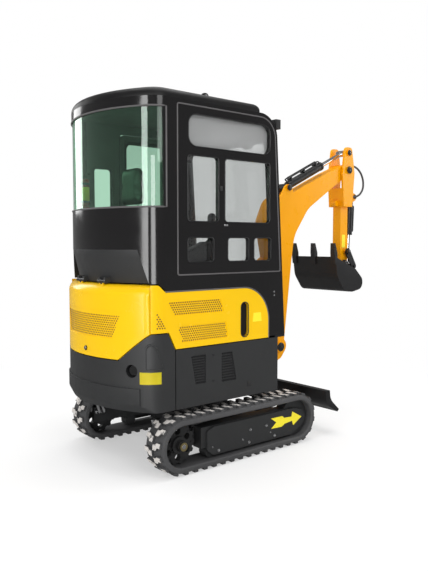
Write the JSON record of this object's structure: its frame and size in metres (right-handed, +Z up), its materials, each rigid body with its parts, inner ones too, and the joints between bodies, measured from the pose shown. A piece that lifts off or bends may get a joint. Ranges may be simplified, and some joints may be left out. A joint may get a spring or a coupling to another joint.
{
  "type": "mini excavator",
  "caption": "Small tracked digger with a closed cab, round tail, dozer blade and a jointed boom, stick and bucket moved by hydraulic cylinders.",
  "frame": {"origin": "on the ground under the swing axis, midway between the tracks and between the front and rear track wheels", "axes": "+X to the machine's right, +Y to its front, +Z up"},
  "size_m": [1.1, 2.637, 2.287],
  "materials": {
    "yellow_paint": "gloss",
    "amber_paint": "gloss",
    "gloss_black": "gloss",
    "dark_panel": "satin",
    "black_paint": "satin",
    "track_rubber": "matte",
    "cast_wheel": "satin",
    "bright_steel": "satin",
    "rod_chrome": "polished",
    "green_glass": "clear",
    "seat_cover": "satin",
    "lamp_plastic": "matte"
  },
  "bodies": {
    "undercarriage": {"lower_frame": "black_paint", "slew_ring": "bright_steel", "track_beam_left": "black_paint", "track_beam_right": "black_paint", "track_left": "track_rubber", "track_right": "track_rubber", "sprocket_left": "cast_wheel", "sprocket_right": "cast_wheel"},
    "house": {"deck": "black_paint", "counterweight": "dark_panel", "side_skirt_left": "dark_panel", "side_skirt_right": "dark_panel", "side_cover_left": "yellow_paint", "side_cover_right": "yellow_paint", "engine": "cast_wheel", "cab_floor": "dark_panel", "seat_cushion": "seat_cover", "seat_back": "seat_cover", "cab_right": "gloss_black", "cab_left": "gloss_black", "cab_rear": "gloss_black", "cab_front": "gloss_black", "cab_roof": "gloss_black", "right_glass": "green_glass", "rear_glass": "green_glass", "windscreen": "green_glass", "work_light": "lamp_plastic", "boom_bracket": "amber_paint"},
    "hood": {"hood": "yellow_paint"},
    "door": {"door": "gloss_black", "door_glass": "green_glass"},
    "blade": {"blade": "black_paint"},
    "blade_barrel": {"blade_cylinder_barrel": "black_paint"},
    "blade_rod": {"blade_cylinder_rod": "rod_chrome"},
    "boom": {"boom": "amber_paint"},
    "boom_barrel": {"boom_cylinder_barrel": "amber_paint"},
    "boom_rod": {"boom_cylinder_rod": "rod_chrome"},
    "stick": {"stick": "amber_paint", "stick_hoses": "track_rubber"},
    "stick_barrel": {"stick_cylinder_barrel": "amber_paint"},
    "stick_rod": {"stick_cylinder_rod": "rod_chrome"},
    "bucket_barrel": {"bucket_cylinder_barrel": "amber_paint"},
    "bucket_rod": {"bucket_cylinder_rod": "rod_chrome"},
    "rocker": {"rocker_left": "black_paint", "rocker_right": "black_paint"},
    "link": {"bucket_link": "black_paint"},
    "bucket": {"bucket": "black_paint"}
  },
  "joints": [
    {"name": "slew", "type": "hinge", "parent": "undercarriage", "child": "house", "pos_m": [0, 0, 0.4], "axis": [0, 0, 1], "continuous": true},
    {"name": "boom_lift", "type": "hinge", "parent": "house", "child": "boom", "pos_m": [0, 0.77, 0.585], "axis": [1, 0, 0], "range_deg": [-75, 10]},
    {"name": "stick_swing", "type": "hinge", "parent": "boom", "child": "stick", "pos_m": [0, 1.569, 1.979], "axis": [1, 0, 0], "range_deg": [-18, 70]},
    {"name": "bucket_curl", "type": "hinge", "parent": "stick", "child": "bucket", "pos_m": [0, 1.566, 1.205], "axis": [1, 0, 0], "range_deg": [-12, 118]},
    {"name": "blade_lift", "type": "hinge", "parent": "undercarriage", "child": "blade", "pos_m": [0, 0.35, 0.2], "axis": [1, 0, 0], "range_deg": [-22, 6]},
    {"name": "door_swing", "type": "hinge", "parent": "house", "child": "door", "pos_m": [-0.512, -0.302, 1.5], "axis": [0, 0, 1], "range_deg": [0, 100]},
    {"name": "hood_lift", "type": "hinge", "parent": "house", "child": "hood", "pos_m": [0, -0.79, 1.146], "axis": [-1, 0, 0], "range_deg": [0, 65]},
    {"name": "boom_barrel_swing", "type": "hinge", "parent": "house", "child": "boom_barrel", "pos_m": [0, 0.58, 0.645], "axis": [1, 0, 0], "range_deg": [-72, 12]},
    {"name": "boom_rod_slide", "type": "slide", "parent": "boom_barrel", "child": "boom_rod", "axis": [0, 0.1065, 0.9943], "range_m": [-0.035, 0.24]},
    {"name": "stick_barrel_swing", "type": "hinge", "parent": "boom", "child": "stick_barrel", "pos_m": [0, 0.884, 1.8], "axis": [1, 0, 0], "range_deg": [-3, 3]},
    {"name": "stick_rod_slide", "type": "slide", "parent": "stick_barrel", "child": "stick_rod", "axis": [0, 0.9053, 0.4248], "range_m": [-0.158, 0.044]},
    {"name": "rocker_swing", "type": "hinge", "parent": "stick", "child": "rocker", "pos_m": [0, 1.5841, 1.3028], "axis": [1, 0, 0], "range_deg": [-12, 102]},
    {"name": "link_swing", "type": "hinge", "parent": "rocker", "child": "link", "pos_m": [0, 1.6653, 1.1819], "axis": [1, 0, 0], "range_deg": [-102, 13]},
    {"name": "bucket_barrel_swing", "type": "hinge", "parent": "stick", "child": "bucket_barrel", "pos_m": [0, 1.69, 1.765], "axis": [1, 0, 0], "range_deg": [-3, 9]},
    {"name": "bucket_rod_slide", "type": "slide", "parent": "bucket_barrel", "child": "bucket_rod", "axis": [0, -0.0423, -0.9991], "range_m": [-0.216, 0.026]},
    {"name": "blade_barrel_swing", "type": "hinge", "parent": "undercarriage", "child": "blade_barrel", "pos_m": [0, 0.25, 0.285], "axis": [1, 0, 0], "range_deg": [-18, 6]},
    {"name": "blade_rod_slide", "type": "slide", "parent": "blade_barrel", "child": "blade_rod", "axis": [0, 0.998, -0.0638], "range_m": [-0.015, 0.05]}
  ],
  "couplings": [
    {"joint": "boom_barrel_swing", "follows": "boom_lift", "ratio": 0.9187},
    {"joint": "boom_rod_slide", "follows": "boom_lift", "m_per_rad": -0.1769},
    {"joint": "stick_barrel_swing", "follows": "stick_swing", "ratio": -0.0081},
    {"joint": "stick_rod_slide", "follows": "stick_swing", "m_per_rad": -0.1243},
    {"joint": "rocker_swing", "follows": "bucket_curl", "ratio": 0.847},
    {"joint": "link_swing", "follows": "bucket_curl", "ratio": -0.842},
    {"joint": "bucket_barrel_swing", "follows": "bucket_curl", "ratio": 0.0574},
    {"joint": "bucket_rod_slide", "follows": "bucket_curl", "m_per_rad": -0.1022},
    {"joint": "blade_barrel_swing", "follows": "blade_lift", "ratio": 0.6975},
    {"joint": "blade_rod_slide", "follows": "blade_lift", "m_per_rad": -0.0676}
  ]
}
